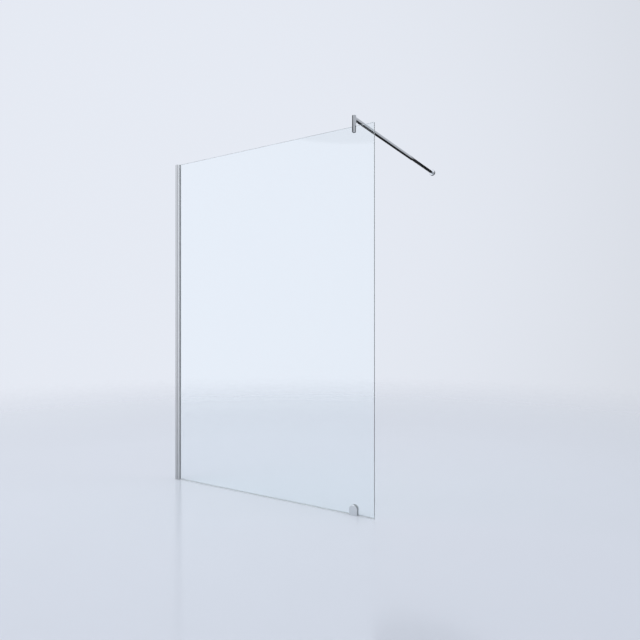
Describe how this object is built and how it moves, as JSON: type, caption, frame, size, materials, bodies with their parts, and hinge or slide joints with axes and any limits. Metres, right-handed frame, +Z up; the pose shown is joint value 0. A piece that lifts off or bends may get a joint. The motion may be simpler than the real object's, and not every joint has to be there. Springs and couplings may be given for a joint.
{
  "type": "walk-in shower screen",
  "caption": "Frameless walk-in shower screen: glass pane in a telescoping wall profile, floor foot, glass clamp and telescopic stabilising bar to the back wall.",
  "frame": {"origin": "face of the side wall at floor level, in the middle plane of the glass", "axes": "+X from the side wall along the glass to its free edge, +Y into the shower towards the back wall along the bar, +Z up"},
  "size_m": [1.4, 1.1705, 2.062],
  "materials": {
    "aluminium": "satin anodised",
    "chrome": "polished",
    "stainless_steel": "plain",
    "clear_glass": "toughened, polished edges",
    "clear_seal": "clear flexible strip",
    "seal_rubber": "matt",
    "cap_plastic": "silver grey",
    "nylon": "moulded"
  },
  "bodies": {
    "root": {"wall_channel": "aluminium", "channel_top_cap": "cap_plastic", "adjusting_screws": "stainless_steel", "adjusting_screw_caps": "cap_plastic", "adjusting_nut_plates": "stainless_steel"},
    "screen": {"glass_channel": "aluminium", "front_gasket": "seal_rubber", "rear_gasket": "seal_rubber", "side_packers": "nylon", "setting_block": "nylon", "glass_panel": "clear_glass", "bottom_seal": "clear_seal", "foot_front_plate": "chrome", "foot_rear_body": "chrome", "foot_front_pad": "seal_rubber", "foot_rear_pad": "seal_rubber", "foot_base_pad": "seal_rubber", "foot_sleeve": "nylon", "foot_screw": "stainless_steel", "foot_screw_cap": "chrome"},
    "clamp_carriage": {"clamp_body": "chrome", "clamp_liner": "seal_rubber", "clamp_pressure_plate": "stainless_steel", "clamp_grub_screws": "stainless_steel", "bar_spigot": "chrome", "bar_outer_tube": "chrome", "spigot_grub_screw": "stainless_steel", "telescope_bush": "nylon", "telescope_lock_screw": "stainless_steel"},
    "bar_wall_end": {"bar_inner_tube": "chrome", "inner_tube_guide": "nylon", "wall_socket": "chrome", "socket_grub_screw": "stainless_steel"},
    "rosette": {"cover_rosette": "chrome", "rosette_o_ring": "seal_rubber"}
  },
  "joints": [
    {"name": "width_adjust", "type": "slide", "parent": "root", "child": "screen", "axis": [1, 0, 0], "range_m": [-0.006, 0.003]},
    {"name": "clamp_along_glass", "type": "slide", "parent": "screen", "child": "clamp_carriage", "axis": [1, 0, 0], "range_m": [-0.4, 0.09]},
    {"name": "bar_telescope", "type": "slide", "parent": "clamp_carriage", "child": "bar_wall_end", "axis": [0, 1, 0], "range_m": [-0.28, 0.1]},
    {"name": "rosette_slide", "type": "slide", "parent": "bar_wall_end", "child": "rosette", "axis": [0, -1, 0], "range_m": [0, 0.05]}
  ]
}
